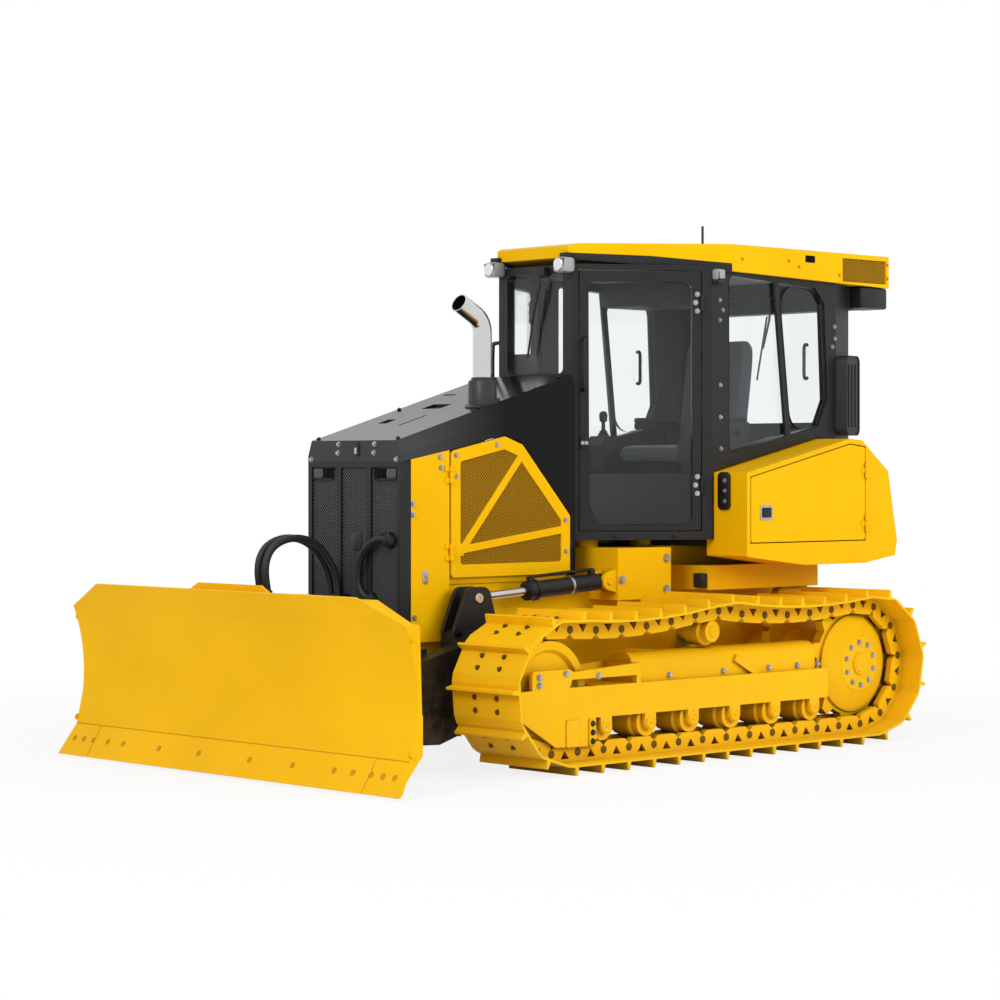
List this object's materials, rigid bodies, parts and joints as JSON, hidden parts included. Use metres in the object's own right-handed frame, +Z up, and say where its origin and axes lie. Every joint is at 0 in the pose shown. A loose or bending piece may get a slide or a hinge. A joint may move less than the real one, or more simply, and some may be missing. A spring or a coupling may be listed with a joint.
{
  "type": "bulldozer",
  "caption": "Crawler dozer with closed cab, steel tracks and a wide curved front blade that lifts, angles and tilts; cab, engine and locker doors open.",
  "frame": {"origin": "on the ground under the middle of the overall box", "axes": "+X forward towards the blade, +Y to the operator's left, +Z up"},
  "size_m": [4.37, 2.752, 2.909],
  "materials": {
    "yellow": "gloss",
    "charcoal": "satin",
    "black": "satin",
    "iron": "matte",
    "chrome": "polished",
    "rod": "polished",
    "glass": "clear",
    "plastic": "matte",
    "rubber": "matte",
    "cloth": "woven"
  },
  "bodies": {
    "machine": {"main_frame": "yellow", "engine": "iron", "hood": "charcoal", "grille": "charcoal", "side_panels": "yellow", "exhaust": "chrome", "cab_frame": "charcoal", "roof": "yellow", "cab_glass": "glass", "seat_base": "plastic", "seat": "cloth", "consoles": "plastic", "roof_fittings": "plastic", "air_unit": "plastic", "fenders": "yellow", "fuel_tank": "charcoal", "track_frames": "yellow", "track_l": "yellow", "track_r": "yellow", "sprockets": "yellow", "rollers": "yellow", "hose_l": "rubber", "hose_r": "rubber"},
    "push_frame": {"push_frame": "black"},
    "swivel": {"swivel": "black"},
    "blade": {"blade": "yellow", "cutting_edge": "yellow"},
    "lift_barrel_l": {"lift_barrel_l": "black"},
    "lift_rod_l": {"lift_rod_l": "rod"},
    "lift_barrel_r": {"lift_barrel_r": "black"},
    "lift_rod_r": {"lift_rod_r": "rod"},
    "angle_barrel_l": {"angle_barrel_l": "black"},
    "angle_rod_l": {"angle_rod_l": "rod"},
    "angle_barrel_r": {"angle_barrel_r": "black"},
    "angle_rod_r": {"angle_rod_r": "rod"},
    "tilt_barrel": {"tilt_barrel": "black"},
    "tilt_rod": {"tilt_rod": "rod"},
    "engine_door_l": {"engine_door_l": "yellow"},
    "engine_door_r": {"engine_door_r": "yellow"},
    "locker_door_l": {"locker_door_l": "yellow"},
    "locker_door_r": {"locker_door_r": "yellow"},
    "cab_door_l": {"cab_door_l": "charcoal", "door_glass_l": "glass"},
    "cab_door_r": {"cab_door_r": "charcoal", "door_glass_r": "glass"}
  },
  "joints": [
    {"name": "blade_lift", "type": "hinge", "parent": "machine", "child": "push_frame", "pos_m": [0.815, 0, 0.42], "axis": [0, -1, 0], "range_deg": [-18, 30], "deforming": ["hose_l", "hose_r"]},
    {"name": "blade_angle", "type": "hinge", "parent": "push_frame", "child": "swivel", "pos_m": [1.895, 0, 0.33], "axis": [0, 0, 1], "range_deg": [-22, 22]},
    {"name": "blade_tilt", "type": "hinge", "parent": "swivel", "child": "blade", "pos_m": [1.895, 0, 0.33], "axis": [1, 0, 0], "range_deg": [-8, 8]},
    {"name": "lift_swing_l", "type": "hinge", "parent": "machine", "child": "lift_barrel_l", "pos_m": [-0.06, 0.48, 0.925], "axis": [0, -1, 0], "range_deg": [-1, 1]},
    {"name": "lift_slide_l", "type": "slide", "parent": "lift_barrel_l", "child": "lift_rod_l", "axis": [0.998, 0, -0.0635], "range_m": [-0.232, 0.139]},
    {"name": "angle_swing_l", "type": "hinge", "parent": "push_frame", "child": "angle_barrel_l", "pos_m": [1.3, 0.47, 0.65], "axis": [0, 0, 1], "range_deg": [-1, 1]},
    {"name": "angle_slide_l", "type": "slide", "parent": "angle_barrel_l", "child": "angle_rod_l", "axis": [0.9944, -0.1055, 0], "range_m": [-0.155, 0.155]},
    {"name": "lift_swing_r", "type": "hinge", "parent": "machine", "child": "lift_barrel_r", "pos_m": [-0.06, -0.48, 0.925], "axis": [0, -1, 0], "range_deg": [-1, 1]},
    {"name": "lift_slide_r", "type": "slide", "parent": "lift_barrel_r", "child": "lift_rod_r", "axis": [0.998, 0, -0.0635], "range_m": [-0.232, 0.139]},
    {"name": "angle_swing_r", "type": "hinge", "parent": "push_frame", "child": "angle_barrel_r", "pos_m": [1.3, -0.47, 0.65], "axis": [0, 0, 1], "range_deg": [-1, 1]},
    {"name": "angle_slide_r", "type": "slide", "parent": "angle_barrel_r", "child": "angle_rod_r", "axis": [0.9944, 0.1055, 0], "range_m": [-0.155, 0.155]},
    {"name": "tilt_swing", "type": "hinge", "parent": "swivel", "child": "tilt_barrel", "pos_m": [1.938, -0.26, 0.85], "axis": [1, 0, 0], "range_deg": [-5, 5]},
    {"name": "tilt_slide", "type": "slide", "parent": "tilt_barrel", "child": "tilt_rod", "axis": [0, 1, 0], "range_m": [-0.072, 0.072]},
    {"name": "cab_door_hinge_l", "type": "hinge", "parent": "machine", "child": "cab_door_l", "pos_m": [-0.63334, 0.67963, 1.9], "axis": [0, 0, 1], "range_deg": [0, 100]},
    {"name": "engine_door_hinge_l", "type": "hinge", "parent": "machine", "child": "engine_door_l", "pos_m": [0.95, 0.383, 1.3], "axis": [0, 0, -1], "range_deg": [0, 80]},
    {"name": "locker_door_hinge_l", "type": "hinge", "parent": "machine", "child": "locker_door_l", "pos_m": [-1.718, 0.952, 1.35], "axis": [0, 0, 1], "range_deg": [0, 110]},
    {"name": "cab_door_hinge_r", "type": "hinge", "parent": "machine", "child": "cab_door_r", "pos_m": [-0.63334, -0.67963, 1.9], "axis": [0, 0, -1], "range_deg": [0, 100]},
    {"name": "engine_door_hinge_r", "type": "hinge", "parent": "machine", "child": "engine_door_r", "pos_m": [0.95, -0.383, 1.3], "axis": [0, 0, 1], "range_deg": [0, 80]},
    {"name": "locker_door_hinge_r", "type": "hinge", "parent": "machine", "child": "locker_door_r", "pos_m": [-1.718, -0.952, 1.35], "axis": [0, 0, -1], "range_deg": [0, 110]}
  ],
  "couplings": [
    {"joint": "lift_swing_l", "follows": "blade_lift", "ratio": 0.01},
    {"joint": "lift_slide_l", "follows": "blade_lift", "m_per_rad": -0.4412},
    {"joint": "angle_swing_l", "follows": "blade_angle", "ratio": 0.035},
    {"joint": "angle_slide_l", "follows": "blade_angle", "m_per_rad": -0.4011},
    {"joint": "lift_swing_r", "follows": "blade_lift", "ratio": 0.01},
    {"joint": "lift_slide_r", "follows": "blade_lift", "m_per_rad": -0.4412},
    {"joint": "angle_swing_r", "follows": "blade_angle", "ratio": 0.035},
    {"joint": "angle_slide_r", "follows": "blade_angle", "m_per_rad": 0.4011},
    {"joint": "tilt_swing", "follows": "blade_tilt", "ratio": 0.57},
    {"joint": "tilt_slide", "follows": "blade_tilt", "m_per_rad": -0.487}
  ]
}
